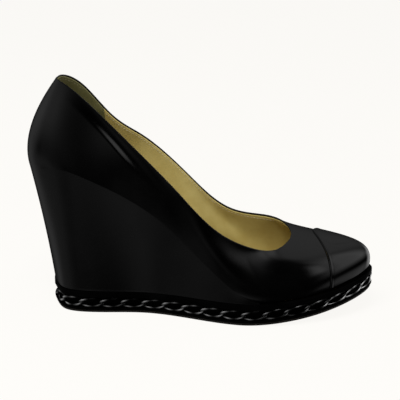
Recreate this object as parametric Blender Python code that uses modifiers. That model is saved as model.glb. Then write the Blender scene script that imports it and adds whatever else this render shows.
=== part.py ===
"""Wedge pump, right shoe: a hollow leather upper on a covered wedge and a platform trimmed with a chain.

Sizes are in millimetres. X runs to the toe from the platform's back, the outer (lateral) side is -Y,
the inner (medial) side is +Y, and Z is up from the floor.
"""
import bpy
import numpy as np

COLLECTION = "wedge heel pump"
MM = 0.001
GAP = 0.3

# Driving sizes of the shoe
LENGTH = 219.0
BALL_WIDTH = 80.0
HEEL_HEIGHT = 97.0
INSTEP_HEIGHT = 32.0

# Sole
TOE_SPRING = 15.0
SPRING_START = 0.6
SPRING_POWER = 1.9
OUTSOLE_THICK = 1.8
OUTSOLE_INSET = 0.8
PLATFORM_TOP = 15.0
RIM_HEIGHT = 4.2
CHANNEL_HEIGHT = 7.4
CHANNEL_DEPTH = 3.0
EDGE_ROUND = 0.7
SOLE_STEPS = 5

# Chain in the channel
CHAIN_LINKS = 36
LINK_STATIONS = 4
CHAIN_SIDES = 8
LINK_HALF_HEIGHT = 2.9
LINK_HEIGHT_WAVE = 0.5
CHAIN_HALF_DEPTH = 1.1
CHAIN_DEPTH_WAVE = 0.2

# Wedge
WEDGE_INSET = 0.4
WEDGE_FRONT_X = 147.0
WEDGE_HOLLOW = 0.9
WEDGE_SEAT_GAP = 0.45
WEDGE_SIDE_POINTS = 26
WEDGE_ROWS = 7
WEDGE_BACK_CROWDING = 1.3

# Insole
INSOLE_THICK = 2.5
INSOLE_CLEARANCE = 0.4
INSOLE_BEVEL = 0.4

# Upper and toe cap
WALL = 1.8
UPPER_STEPS = 5
UPPER_ROWS = 12
CAP_THICK = 0.9
CAP_SEAM_CENTRE_X = 177.5
CAP_SEAM_CENTRE_Y = 16.0
CAP_SEAM_SLOPE = 0.37
CAP_SEAM_ROUND = 4.0
CAP_LOW_EDGE = 0.02
CAP_END_HEIGHT = 0.05
CAP_COLUMNS = 30
CAP_ROWS = 12
SEARCH_POINTS = 400
FINE_STEPS = 40
SMALL_STEP = 0.001

# Platform outline: x in percent of the length, half widths in percent of the ball width
OUTLINE_COLUMNS = ("place", "x", "lateral", "medial")
PLATFORM_OUTLINE = (
    ("back", 0.0, 0.0, 0.0),
    ("heel corner", 2.6, 25.0, 21.0),
    ("heel side", 6.2, 38.4, 31.0),
    ("heel", 13.5, 42.6, 36.6),
    ("waist", 31.0, 37.8, 33.8),
    ("shank", 46.5, 45.8, 36.0),
    ("joint", 62.6, 54.3, 47.5),
    ("tread", 75.8, 48.5, 51.3),
    ("toe corner", 91.3, 27.2, 41.3),
    ("tip", 100.0, -10.0, 10.0),
)

# Thickness of the sole along the shoe: x in percent of the length, thick in percent of the full thickness
THICKNESS_COLUMNS = ("place", "x", "thick")
SOLE_THICKNESS = (
    ("back", 0.0, 104.0),
    ("waist", 35.0, 97.0),
    ("ball", 70.0, 98.0),
    ("toe corner", 88.0, 90.0),
    ("tip", 100.0, 86.0),
)

# The seat's line from the heel over the shank to the ball: x in percent of the length,
# z in percent of the heel height
SEAT_COLUMNS = ("place", "x", "z")
SEAT_LINE = (
    ("back", -7.2, 96.7),
    ("counter", -1.3, 99.1),
    ("heel", 6.0, 100.1),
    ("seat front", 13.8, 94.2),
    ("shank top", 20.6, 87.7),
    ("shank", 29.7, 77.1),
    ("waist", 38.9, 62.5),
    ("arch", 47.1, 46.4),
    ("shank foot", 55.3, 31.4),
    ("joint", 62.6, 20.2),
    ("ball", 69.0, 16.5),
    ("tread", 74.5, 16.1),
)

# Sections of the upper: the feather edge it is lasted to and the topline above it (x in percent of the
# length, half widths in percent of the ball width, wall heights in percent of the instep height), with
# how far the wall swells out over the feather edge and rolls out below the topline, in millimetres
SECTION_COLUMNS = (
    "place", "x", "lateral", "medial", "swell", "rise",
    "top_x", "top_lateral", "top_medial", "wall_lateral", "wall_medial", "roll", "drop",
)
SECTIONS = (
    ("back", -6.8, 0.0, 0.0, 5.5, 19.0, 2.4, 0.0, 0.0, 178.7, 178.7, 14.8, 19.5),
    ("heel corner", -3.5, 21.9, 21.9, 4.0, 17.0, 3.3, 10.0, 10.0, 177.7, 177.7, 9.5, 17.0),
    ("heel", 6.0, 33.1, 32.5, -1.5, 14.6, 9.7, 17.3, 17.3, 161.8, 157.8, 5.3, 12.7),
    ("collar", 13.8, 33.8, 32.5, -1.8, 11.0, 17.4, 20.6, 19.4, 139.3, 121.3, 3.6, 10.4),
    ("seat", 24.3, 33.8, 30.6, -1.8, 11.0, 26.6, 26.3, 24.4, 113.9, 104.5, 2.4, 6.7),
    ("waist", 42.5, 39.0, 30.0, -0.7, 7.6, 41.6, 33.8, 31.3, 90.3, 82.5, 1.0, 10.1),
    ("joint", 62.6, 53.0, 43.1, -0.9, 12.4, 56.2, 37.5, 35.6, 86.2, 89.4, 6.5, 14.3),
    ("tread", 75.8, 47.2, 47.5, 4.8, 10.4, 66.7, 33.8, 32.5, 96.4, 120.6, 3.6, 8.2),
    ("toe corner", 90.4, 25.6, 37.5, 7.1, 16.2, 73.1, 17.5, 20.0, 96.3, 111.9, 22.9, 6.1),
    ("tip", 98.4, -10.0, 10.0, 4.5, 20.0, 74.9, -2.5, 2.5, 103.0, 103.0, 42.0, 3.3),
)


def columns(table, names):
    """A table's number columns as arrays, by column name."""
    return {name: np.array([row[k] for row in table]) for k, name in enumerate(names) if k}


def spline(knots, values, at, closed=False):
    """Cubic through the knots. A closed one repeats its first point at the last knot; others end straight."""
    n = len(knots) - 1
    step = np.diff(knots)
    slope = np.diff(values, axis=0) / step[:, None]
    system = np.eye(n + 1)
    right = np.zeros_like(values)
    wrap = n if closed else n + 1
    for i in range(0 if closed else 1, n):
        system[i, i] = 2 * (step[i - 1] + step[i])
        system[i, (i - 1) % wrap] = step[i - 1]
        system[i, (i + 1) % wrap] = step[i]
        right[i] = 6 * (slope[i] - slope[i - 1])
    if closed:
        system[n, 0] = -1
    bend = np.linalg.solve(system, right)
    k = np.clip(np.searchsorted(knots, at, side="right") - 1, 0, n - 1)
    span = step[k][:, None]
    b = (at - knots[k])[:, None] / span
    a = 1 - b
    cubic = ((a**3 - a) * bend[k] + (b**3 - b) * bend[k + 1]) * span**2 / 6
    return a * values[k] + b * values[k + 1] + cubic


def around(lateral, medial):
    """The lateral points from back to tip, then the medial points back again, closed."""
    return np.concatenate([lateral, medial[-2:0:-1], lateral[:1]])


def run_lengths(points):
    """Distance along a line of points, from its first one."""
    steps = np.linalg.norm(np.diff(points, axis=0), axis=1)
    return np.concatenate([[0.0], np.cumsum(steps)])


def ring_spots(knots, steps):
    """Knot values of a closed ring with the same number of steps between all sections."""
    sections = len(knots) - 1
    return np.interp(np.arange(sections * steps) / steps, np.arange(sections + 1), knots)


def outward(plan):
    """Unit outward directions of a closed plan outline that runs its lateral side first."""
    along = np.roll(plan, -1, axis=0) - np.roll(plan, 1, axis=0)
    out = np.stack([along[:, 1], -along[:, 0]], axis=1)
    return out / np.linalg.norm(out, axis=1)[:, None]


def raised(plan, heights):
    """Plan points with their heights."""
    return np.concatenate([plan, heights[:, None]], axis=1)


def tread_height(x):
    """Height of the sole's underside: flat on the floor up to the ball, then the toe spring."""
    run = (x / LENGTH - SPRING_START) / (1 - SPRING_START)
    return TOE_SPRING * np.clip(run, 0, None)**SPRING_POWER


def thickness_share(x):
    """The sole's thickness at x as a share of its full thickness."""
    row = columns(SOLE_THICKNESS, THICKNESS_COLUMNS)
    knots = row["x"] * LENGTH / 100
    inside = np.clip(np.ravel(x), knots[0], knots[-1])
    return spline(knots, row["thick"][:, None] / 100, inside)[:, 0].reshape(np.shape(x))


def over_floor(x, height):
    """Height over the floor of a place on the sole's side, given by its height in a sole of full thickness."""
    return tread_height(x) + height * thickness_share(x)


def seat_height(x):
    """Height of the edge the upper is lasted to: heel seat, shank and ball, then just over the platform."""
    line = columns(SEAT_LINE, SEAT_COLUMNS)
    knots = line["x"] * LENGTH / 100
    heights = line["z"] * HEEL_HEIGHT / 100
    inside = np.clip(x, knots[0], knots[-1])
    seat = spline(knots, heights[:, None], np.ravel(inside))[:, 0].reshape(np.shape(x))
    seat = np.where(x > knots[-1], 0, seat)
    return np.maximum(seat, over_floor(x, PLATFORM_TOP) + GAP)


def platform_plan(steps, inset=0.0):
    """The platform's outline as a ring of plan points, moved inward by the inset."""
    row = columns(PLATFORM_OUTLINE, OUTLINE_COLUMNS)
    x = row["x"] * LENGTH / 100
    lateral = np.stack([x, -row["lateral"] * BALL_WIDTH / 100], axis=1)
    medial = np.stack([x, row["medial"] * BALL_WIDTH / 100], axis=1)
    points = around(lateral, medial)
    knots = run_lengths(points)
    plan = spline(knots, points, ring_spots(knots, steps), closed=True)
    return plan - inset * outward(plan)


def lasted_rings():
    """Knots and rings of the upper: feather edge in plan, swell over it, topline, and roll below that."""
    row = columns(SECTIONS, SECTION_COLUMNS)
    width = BALL_WIDTH / 100
    wall = INSTEP_HEIGHT / 100
    x = row["x"] * LENGTH / 100
    top_x = row["top_x"] * LENGTH / 100
    foot = seat_height(top_x)
    top_lateral = np.stack([top_x, -row["top_lateral"] * width, foot + row["wall_lateral"] * wall], axis=1)
    top_medial = np.stack([top_x, row["top_medial"] * width, foot + row["wall_medial"] * wall], axis=1)
    lateral = np.stack([x, -row["lateral"] * width], axis=1)
    medial = np.stack([x, row["medial"] * width], axis=1)
    feather = around(lateral, medial)
    out = outward(feather[:-1])
    out = np.concatenate([out, out[:1]])
    swell = raised(out * around(row["swell"], row["swell"])[:, None], around(row["rise"], row["rise"]))
    roll = raised(out * around(row["roll"], row["roll"])[:, None], -around(row["drop"], row["drop"]))
    return run_lengths(feather), (feather, swell, roll, around(top_lateral, top_medial))


def upper_points(spots, v):
    """Points of the upper's outside at ring knots (columns) and heights v, feather 0 to topline 1 (rows)."""
    knots, rings = lasted_rings()
    plan, swell, roll, top = (spline(knots, ring, spots, closed=True) for ring in rings)
    feather = raised(plan, seat_height(plan[:, 0]))
    v = v[..., None]
    w = 1 - v
    return w**3 * feather + 3 * w**2 * v * (feather + swell) + 3 * w * v**2 * (top + roll) + v**3 * top


def upper_normals(spots, v):
    """Unit outward directions of the upper's outside at the same places."""
    along = upper_points(spots + SMALL_STEP, v) - upper_points(spots - SMALL_STEP, v)
    up = upper_points(spots, v + SMALL_STEP) - upper_points(spots, v - SMALL_STEP)
    out = np.cross(along, up)
    return out / np.linalg.norm(out, axis=2)[..., None]


def feather_plan(steps, inset=0.0):
    """Plan of the feather edge, moved inward by the inset."""
    knots, rings = lasted_rings()
    plan = spline(knots, rings[0], ring_spots(knots, steps), closed=True)
    return plan - inset * outward(plan)


def grid_faces(rows, per_row, closed):
    """Quads between rows of points; closed rows join their last point to their first."""
    faces = []
    for j in range(rows - 1):
        for i in range(per_row if closed else per_row - 1):
            k = (i + 1) % per_row
            faces.append((j * per_row + i, j * per_row + k, (j + 1) * per_row + k, (j + 1) * per_row + i))
    return faces


def ladder_faces(count, start):
    """Faces that close a ring across, joining each lateral point to its medial partner."""
    half = count // 2
    faces = [(0, 1, count - 1)]
    faces += [(k, k + 1, count - k - 1, count - k) for k in range(1, half - 1)]
    faces.append((half - 1, half, half + 1))
    return [tuple(start + k for k in face) for face in faces]


def stacked(rings):
    """Points and faces of a closed solid made of rings stacked from its bottom to its top."""
    count = len(rings[0])
    bottom = [face[::-1] for face in ladder_faces(count, 0)]
    top = ladder_faces(count, (len(rings) - 1) * count)
    return np.concatenate(rings), grid_faces(len(rings), count, closed=True) + bottom + top


def over_tread(plan, height):
    """Plan points at a height in the sole, toe spring and thickness taken in."""
    return raised(plan, over_floor(plan[:, 0], height))


def new_object(name, points, faces, material):
    """An object of the shoe, in metres, with its material."""
    mesh = bpy.data.meshes.new(name)
    mesh.from_pydata((points * MM).tolist(), [], faces)
    mesh.materials.append(material)
    thing = bpy.data.objects.new(name, mesh)
    bpy.data.collections[COLLECTION].objects.link(thing)
    return thing


def thickened(thing, thickness, offset):
    """Gives an open surface its wall."""
    wall = thing.modifiers.new("wall", "SOLIDIFY")
    wall.thickness = thickness * MM
    wall.offset = offset
    wall.use_even_offset = True
    return thing


def new_material(name, colour, roughness, metallic=0.0):
    material = bpy.data.materials.new(name)
    material.use_nodes = True
    shader = material.node_tree.nodes["Principled BSDF"]
    shader.inputs["Base Color"].default_value = (*colour, 1.0)
    shader.inputs["Roughness"].default_value = roughness
    shader.inputs["Metallic"].default_value = metallic
    return material


def sole_rubber():
    return new_material("sole rubber", (0.02, 0.016, 0.012), 0.6)


def platform_leather():
    return new_material("platform leather", (0.012, 0.012, 0.012), 0.35)


def chain_metal():
    return new_material("chain metal", (0.45, 0.45, 0.46), 0.25, metallic=1.0)


def wedge_leather():
    return new_material("wedge leather", (0.014, 0.014, 0.014), 0.3)


def sock_leather():
    return new_material("sock leather", (0.42, 0.32, 0.13), 0.5)


def upper_leather():
    return new_material("upper leather", (0.01, 0.01, 0.01), 0.28)


def cap_patent():
    return new_material("cap patent", (0.008, 0.008, 0.008), 0.1)


def make_outsole():
    """Rubber sheet under the platform, flat from the heel to the ball."""
    plan = platform_plan(SOLE_STEPS, OUTSOLE_INSET)
    rings = [over_tread(plan, 0.0), over_tread(plan, OUTSOLE_THICK)]
    return new_object("outsole", *stacked(rings), sole_rubber())


def make_platform():
    """Platform with rounded edges, a lower band, the chain's channel and the rim, from bottom to top."""
    base = OUTSOLE_THICK + GAP
    channel_top = PLATFORM_TOP - RIM_HEIGHT
    channel_bottom = channel_top - CHANNEL_HEIGHT
    profile = (
        (EDGE_ROUND, base),
        (0.0, base + EDGE_ROUND),
        (0.0, channel_bottom),
        (CHANNEL_DEPTH, channel_bottom),
        (CHANNEL_DEPTH, channel_top),
        (0.0, channel_top),
        (0.0, PLATFORM_TOP - EDGE_ROUND),
        (EDGE_ROUND, PLATFORM_TOP),
    )
    rings = [over_tread(platform_plan(SOLE_STEPS, inset), height) for inset, height in profile]
    return new_object("platform", *stacked(rings), platform_leather())


def make_edge_chain():
    """Chain laid in the channel as one closed band that swells at each link and thickens where two cross."""
    inset = CHANNEL_DEPTH - GAP - CHAIN_HALF_DEPTH - CHAIN_DEPTH_WAVE
    path = platform_plan(FINE_STEPS, inset)
    path = np.concatenate([path, path[:1]])
    along = run_lengths(path)
    stations = CHAIN_LINKS * LINK_STATIONS
    at = np.arange(stations) * along[-1] / stations
    plan = np.stack([np.interp(at, along, path[:, k]) for k in (0, 1)], axis=1)
    wave = np.cos(2 * np.pi * np.arange(stations) / LINK_STATIONS)[:, None]
    turn = 2 * np.pi * np.arange(CHAIN_SIDES) / CHAIN_SIDES
    depth = (CHAIN_HALF_DEPTH - CHAIN_DEPTH_WAVE * wave) * np.cos(turn)
    lift = thickness_share(plan[:, :1]) * (LINK_HALF_HEIGHT + LINK_HEIGHT_WAVE * wave) * np.sin(turn)
    middle = PLATFORM_TOP - RIM_HEIGHT - CHANNEL_HEIGHT / 2
    centre = over_tread(plan, middle)[:, None, :]
    out = np.concatenate([outward(plan), np.zeros((stations, 1))], axis=1)[:, None, :]
    points = centre + out * depth[..., None] + np.array([0.0, 0.0, 1.0]) * lift[..., None]
    return new_object("edge_chain", points.reshape(-1, 3), chain_faces(stations), chain_metal())


def chain_faces(stations):
    """Quads of a closed tube, station by station and then round each station."""
    faces = []
    for i in range(stations):
        here = i * CHAIN_SIDES
        there = (i + 1) % stations * CHAIN_SIDES
        for j in range(CHAIN_SIDES):
            k = (j + 1) % CHAIN_SIDES
            faces.append((here + j, there + j, there + k, here + k))
    return faces


def side_run(half, front_x):
    """Points along one side of an outline from its back to the wedge's front, closer at the back."""
    stop = np.argmax(half[:, 0] >= front_x) + 1
    kept = half[:stop]
    along = run_lengths(kept)
    at = along[-1] * np.linspace(0, 1, WEDGE_SIDE_POINTS)**WEDGE_BACK_CROWDING
    run = np.stack([np.interp(at, along, kept[:, k]) for k in (0, 1)], axis=1)
    run[-1, 0] = front_x
    return run


def wedge_plan(plan):
    """The wedge's ring on an outline: lateral side, the middle of the front edge, medial side."""
    half = len(plan) // 2
    lateral = side_run(plan[:half + 1], WEDGE_FRONT_X)
    medial = side_run(np.concatenate([plan[:1], plan[:half - 1:-1]]), WEDGE_FRONT_X)
    front = (lateral[-1:] + medial[-1:]) / 2
    return np.concatenate([lateral, front, medial[:0:-1]])


def make_wedge_heel():
    """Wedge lofted from the platform's top to the seat, its walls drawn in a little at mid height."""
    foot = wedge_plan(platform_plan(FINE_STEPS, WEDGE_INSET))
    seat = wedge_plan(feather_plan(FINE_STEPS))
    low = over_floor(foot[:, 0], PLATFORM_TOP) + GAP
    high = seat_height(seat[:, 0]) - WEDGE_SEAT_GAP
    height = high - low
    hollow = outward(foot) * (WEDGE_HOLLOW * height / height.max())[:, None]
    rings = []
    for r in np.linspace(0, 1, WEDGE_ROWS):
        plan = (1 - r) * foot + r * seat - 4 * r * (1 - r) * hollow
        rings.append(raised(plan, low + r * height))
    return new_object("wedge_heel", *stacked(rings), wedge_leather())


def make_insole():
    """Board and sock that close the upper from inside, bevelled to stay clear of its leaning wall."""
    foot = feather_plan(UPPER_STEPS, WALL + INSOLE_CLEARANCE)
    sock = feather_plan(UPPER_STEPS, WALL + INSOLE_CLEARANCE + INSOLE_BEVEL)
    rings = [raised(foot, seat_height(foot[:, 0])), raised(sock, seat_height(sock[:, 0]) + INSOLE_THICK)]
    return new_object("insole", *stacked(rings), sock_leather())


def make_upper():
    """Upper as an open lasted surface with its wall inside it."""
    knots, _ = lasted_rings()
    spots = ring_spots(knots, UPPER_STEPS)
    v = np.linspace(0, 1, UPPER_ROWS + 1)[:, None]
    points = upper_points(spots, v).reshape(-1, 3)
    faces = grid_faces(UPPER_ROWS + 1, len(spots), closed=True)
    return thickened(new_object("upper", points, faces, upper_leather()), WALL, -1)


def seam_rise(spots):
    """Height v at which each of the upper's lines crosses the cap's seam."""
    v = np.linspace(0, 1, SEARCH_POINTS)[:, None]
    points = upper_points(spots, v)
    arms = np.hypot(points[..., 1] - CAP_SEAM_CENTRE_Y, CAP_SEAM_ROUND) - CAP_SEAM_ROUND
    seam_x = CAP_SEAM_CENTRE_X + CAP_SEAM_SLOPE * arms
    behind = points[..., 0] < seam_x
    return v[np.argmax(behind, axis=0), 0]


def make_toe_cap():
    """Cap over the toe, cut from the upper's own surface and closer columns at its two ends."""
    knots, _ = lasted_rings()
    middle = len(SECTIONS) - 1
    search = np.linspace(knots[middle - 2], knots[middle + 2], SEARCH_POINTS)
    inside = search[seam_rise(search) > CAP_LOW_EDGE + CAP_END_HEIGHT]
    swing = (1 - np.cos(np.linspace(0, np.pi, CAP_COLUMNS))) / 2
    spots = inside[0] + (inside[-1] - inside[0]) * swing
    share = np.linspace(0, 1, CAP_ROWS)[:, None]
    v = CAP_LOW_EDGE + (seam_rise(spots) - CAP_LOW_EDGE) * share
    points = upper_points(spots, v)
    points = (points + GAP * upper_normals(spots, v)).reshape(-1, 3)
    faces = grid_faces(CAP_ROWS, CAP_COLUMNS, closed=False)
    return thickened(new_object("toe_cap", points, faces, cap_patent()), CAP_THICK, 1)


def rest_on_origin(things):
    """Moves the shoe so the middle of its box's underside is the origin."""
    corners = np.array([vertex.co for thing in things for vertex in thing.data.vertices])
    low = corners.min(axis=0)
    high = corners.max(axis=0)
    shift = np.array([(low[0] + high[0]) / 2, (low[1] + high[1]) / 2, low[2]])
    for thing in things:
        for vertex in thing.data.vertices:
            vertex.co = np.array(vertex.co) - shift


def build():
    for thing in list(bpy.data.objects):
        bpy.data.objects.remove(thing)
    bpy.context.scene.collection.children.link(bpy.data.collections.new(COLLECTION))
    makers = (
        make_outsole, make_platform, make_edge_chain, make_wedge_heel, make_insole, make_upper, make_toe_cap,
    )
    rest_on_origin([make() for make in makers])


build()
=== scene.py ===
import bmesh
import bpy
import numpy as np
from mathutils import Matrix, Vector


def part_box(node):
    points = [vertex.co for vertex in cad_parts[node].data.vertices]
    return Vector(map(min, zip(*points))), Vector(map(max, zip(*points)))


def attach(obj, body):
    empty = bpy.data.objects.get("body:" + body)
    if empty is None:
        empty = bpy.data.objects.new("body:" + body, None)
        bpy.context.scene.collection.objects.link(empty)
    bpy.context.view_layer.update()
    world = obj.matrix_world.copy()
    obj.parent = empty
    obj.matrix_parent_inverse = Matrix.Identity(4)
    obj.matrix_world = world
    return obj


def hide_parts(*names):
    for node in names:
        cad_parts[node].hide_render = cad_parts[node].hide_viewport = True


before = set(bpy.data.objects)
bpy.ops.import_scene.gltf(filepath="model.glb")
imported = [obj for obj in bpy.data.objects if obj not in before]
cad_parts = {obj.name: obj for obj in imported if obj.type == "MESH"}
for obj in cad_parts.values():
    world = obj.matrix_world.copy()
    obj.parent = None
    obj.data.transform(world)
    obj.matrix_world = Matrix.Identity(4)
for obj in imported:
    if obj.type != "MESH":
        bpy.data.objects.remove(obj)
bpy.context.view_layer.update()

# Outsole: a thin sheet of brown-black rubber under the whole shoe, flat from heel to ball and sprung up at
# the toe. It is cemented on a little inside the platform's edge, and its cut edge is buffed round.
MM = 0.001
LENGTH = 219.0
BALL_WIDTH = 80.0
TOE_SPRING = 15.0
SPRING_START = 0.6
SPRING_POWER = 1.9
OUTSOLE_THICK = 1.8
OUTSOLE_INSET = 0.8
OUTSOLE_BUFFING = 0.5
FLAT_MARGIN = 7.0
SOLE_RING = 420
BEND_STEPS = 6
SHARP_ANGLE = 50.0
CELL_SHARE = 0.6
FINE_DETAIL = 3.0
PATCH_DETAIL = 4.0
PATCH_ROUGHNESS = 0.55
TONE_LOW = 0.3
TONE_HIGH = 0.7
RUBBER_DARK = (0.0035, 0.0027, 0.002)
RUBBER_DUSTY = (0.011, 0.0085, 0.0065)

# Platform outline: x in percent of the length, half widths in percent of the ball width
SOLE_OUTLINE = (
    # place, x, lateral, medial
    ("back", 0.0, 0.0, 0.0),
    ("heel corner", 2.6, 25.0, 21.0),
    ("heel side", 6.2, 38.4, 31.0),
    ("heel", 13.5, 42.6, 36.6),
    ("waist", 31.0, 37.8, 33.8),
    ("shank", 46.5, 45.8, 36.0),
    ("joint", 62.6, 54.3, 47.5),
    ("tread", 75.8, 48.5, 51.3),
    ("toe corner", 91.3, 27.2, 41.3),
    ("tip", 100.0, -10.0, 10.0),
)

# Thickness of the sole along the shoe: percent of the length, percent of the full thickness
SOLE_THICKNESS = (
    # place, x, thick
    ("back", 0.0, 104.0),
    ("waist", 35.0, 97.0),
    ("ball", 70.0, 98.0),
    ("toe corner", 88.0, 90.0),
    ("tip", 100.0, 86.0),
)


def columns(table):
    """The number columns of a table whose first column names the place."""
    return np.array([row[1:] for row in table]).T


def cubic(knots, values, bends, at):
    """Cubic between knots: straight blend of the two values plus each end's bend times (s^3 - s) step^2 / 6."""
    k = np.clip(np.searchsorted(knots, at, side="right") - 1, 0, len(knots) - 2)
    step = (knots[k + 1] - knots[k])[:, None]
    b = (at - knots[k])[:, None] / step
    a = 1 - b
    return a * values[k] + b * values[k + 1] + ((a**3 - a) * bends[k] + (b**3 - b) * bends[k + 1]) * step**2 / 6


def ring_curve(points, chords, at):
    """Smooth closed curve through points; the bends come from equal slopes and bends on both sides of each."""
    unit = np.eye(len(points))
    before = np.roll(chords, 1)
    system = (2 * (before + chords))[:, None] * unit + before[:, None] * np.roll(unit, -1, axis=1)
    system = system + chords[:, None] * np.roll(unit, 1, axis=1)
    slope = (np.roll(points, -1, axis=0) - points) / chords[:, None]
    bends = np.linalg.solve(system, 6 * (slope - np.roll(slope, 1, axis=0)))
    knots = np.concatenate([[0.0], np.cumsum(chords)])
    closed = np.concatenate([points, points[:1]])
    return cubic(knots, closed, np.concatenate([bends, bends[:1]]), at % knots[-1])


def open_curve(knots, values, at):
    """Cubic through values at knots with straight ends; the bends solve the equal-slope rows between."""
    step = np.diff(knots)
    slope = np.diff(values) / step
    middle = np.concatenate([[1.0], 2 * (step[:-1] + step[1:]), [1.0]])
    below = np.concatenate([step[:-1], [0.0]])
    above = np.concatenate([[0.0], step[1:]])
    system = np.diag(middle) + np.diag(below, -1) + np.diag(above, 1)
    bends = np.linalg.solve(system, np.concatenate([[0.0], 6 * np.diff(slope), [0.0]]))
    return cubic(knots, values[:, None], bends[:, None], np.ravel(at))[:, 0].reshape(np.shape(at))


def both_sides(lateral, medial):
    """Lateral points from back to tip and then the medial points back again."""
    return np.concatenate([lateral, medial[-2:0:-1]])


def chord_lengths(ring):
    """Straight distance from each point of a closed ring to the next."""
    return np.linalg.norm(np.roll(ring, -1, axis=0) - ring, axis=1)


def outward(plan):
    """Unit directions out of a closed plan ring: its tangent turned a quarter to the right."""
    along = np.roll(plan, -1, axis=0) - np.roll(plan, 1, axis=0)
    out = np.stack([along[:, 1], -along[:, 0]], axis=1)
    return out / np.linalg.norm(out, axis=1)[:, None]


def raised(plan, height):
    """Plan points given their heights."""
    return np.concatenate([plan, np.broadcast_to(height, len(plan))[:, None]], axis=1)


def tread_height(x):
    """Height of the sole's underside: nothing to the ball, then the spring times a power of the rest."""
    run = (x / LENGTH - SPRING_START) / (1 - SPRING_START)
    return TOE_SPRING * np.clip(run, 0, None)**SPRING_POWER


def thickness_share(x):
    """The sole's thickness at x as a share of its full thickness."""
    knots, thick = columns(SOLE_THICKNESS)
    knots = knots * LENGTH / 100
    return open_curve(knots, thick / 100, np.clip(x, knots[0], knots[-1]))


def over_floor(x, height):
    """Height over the floor: the toe spring plus a height in the sole times the sole's share of thickness."""
    return tread_height(x) + height * thickness_share(x)


def over_tread(plan, height):
    """Plan points at a height in the sole."""
    return raised(plan, over_floor(plan[:, 0], height))


def sole_plan(inset, count=SOLE_RING):
    """The platform's outline as a closed ring of plan points, moved inward."""
    x, lateral, medial = columns(SOLE_OUTLINE)
    x = x * LENGTH / 100
    width = BALL_WIDTH / 100
    points = both_sides(np.stack([x, -lateral * width], axis=1), np.stack([x, medial * width], axis=1))
    chords = chord_lengths(points)
    plan = ring_curve(points, chords, np.arange(count) * chords.sum() / count)
    return plan - inset * outward(plan)


def rounded_profile(corners):
    """Profile through corners (across, up, rounding), each corner a parabola from its two sides."""
    corners = np.array(corners)
    spots = corners[:, :2]
    back = np.roll(spots, 1, axis=0) - spots
    on = np.roll(spots, -1, axis=0) - spots
    reach = corners[:, 2:]
    start = spots + reach * back / np.linalg.norm(back, axis=1)[:, None]
    end = spots + reach * on / np.linalg.norm(on, axis=1)[:, None]
    t = np.linspace(0, 1, BEND_STEPS)[None, :, None]
    bend = (1 - t)**2 * start[:, None] + 2 * t * (1 - t) * spots[:, None] + t**2 * end[:, None]
    return bend.reshape(-1, 2)


def closed_across(rings):
    """Rings from bottom to top with a row of midpoints between lateral and medial partners at both ends."""
    partner = -np.arange(rings.shape[1]) % rings.shape[1]
    low = (rings[:1] + rings[:1, partner]) / 2
    high = (rings[-1:] + rings[-1:, partner]) / 2
    return np.concatenate([low, rings, high])


def grid_quads(rows, count, close_rows=False, close_ring=True):
    """Four-sided faces between neighbouring rows and columns of a grid of points, as an array."""
    j = np.arange(rows if close_rows else rows - 1)[:, None]
    i = np.arange(count if close_ring else count - 1)[None, :]
    right = (i + 1) % count
    above = (j + 1) % rows
    quads = [j * count + i, j * count + right, above * count + right, above * count + i]
    return np.stack(quads, axis=-1).reshape(-1, 4)


def at_home():
    """Where part sizes are zero in the frame, from the low corner of the platform's box."""
    low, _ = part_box("platform")
    back, lateral = sole_plan(0.0).min(axis=0) * MM
    return np.array([low.x - back, low.y - lateral, 0.0])


HOME = at_home()


def new_piece(name, points, quads, material):
    """A piece of the shoe from millimetre points: doubles merged, smooth, sharp past the sharp angle."""
    mesh = bpy.data.meshes.new(name)
    mesh.from_pydata((points.reshape(-1, 3) * MM + HOME).tolist(), [], quads.tolist())
    work = bmesh.new()
    work.from_mesh(mesh)
    bmesh.ops.remove_doubles(work, verts=work.verts, dist=MM * MM)
    work.to_mesh(mesh)
    work.free()
    mesh.materials.append(material)
    mesh.shade_smooth()
    mesh.set_sharp_from_angle(angle=np.radians(SHARP_ANGLE))
    thing = bpy.data.objects.new(name, mesh)
    bpy.context.scene.collection.objects.link(thing)
    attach(thing, "root")
    return thing


def new_group(name, inputs, outputs):
    """An empty shader node group with named number inputs and outputs."""
    group = bpy.data.node_groups.new(name, "ShaderNodeTree")
    for label in inputs:
        group.interface.new_socket(label, in_out="INPUT", socket_type="NodeSocketFloat")
    for label in outputs:
        group.interface.new_socket(label, in_out="OUTPUT", socket_type="NodeSocketFloat")
    return group, group.nodes.new("NodeGroupInput"), group.nodes.new("NodeGroupOutput")


def grain_group():
    """Skin or rubber grain: rounded cells with finer noise as height, and wide soft patches as tone."""
    group, given, put = new_group("surface grain", ("cells per metre", "patches per metre"), ("height", "tone"))
    link = group.links.new
    where = group.nodes.new("ShaderNodeTexCoord")
    cells = group.nodes.new("ShaderNodeTexVoronoi")
    cells.feature = "SMOOTH_F1"
    fine = group.nodes.new("ShaderNodeTexNoise")
    fine.inputs["Detail"].default_value = FINE_DETAIL
    mixed = group.nodes.new("ShaderNodeMath")
    mixed.operation = "MULTIPLY_ADD"
    mixed.inputs[1].default_value = CELL_SHARE
    patches = group.nodes.new("ShaderNodeTexNoise")
    patches.inputs["Detail"].default_value = PATCH_DETAIL
    patches.inputs["Roughness"].default_value = PATCH_ROUGHNESS
    for texture in (cells, fine, patches):
        link(where.outputs["Object"], texture.inputs["Vector"])
    link(given.outputs["cells per metre"], cells.inputs["Scale"])
    link(given.outputs["cells per metre"], fine.inputs["Scale"])
    link(given.outputs["patches per metre"], patches.inputs["Scale"])
    link(cells.outputs["Distance"], mixed.inputs[0])
    link(fine.outputs["Fac"], mixed.inputs[2])
    link(mixed.outputs[0], put.inputs["height"])
    link(patches.outputs["Fac"], put.inputs["tone"])
    return group


GRAIN = grain_group()


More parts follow.
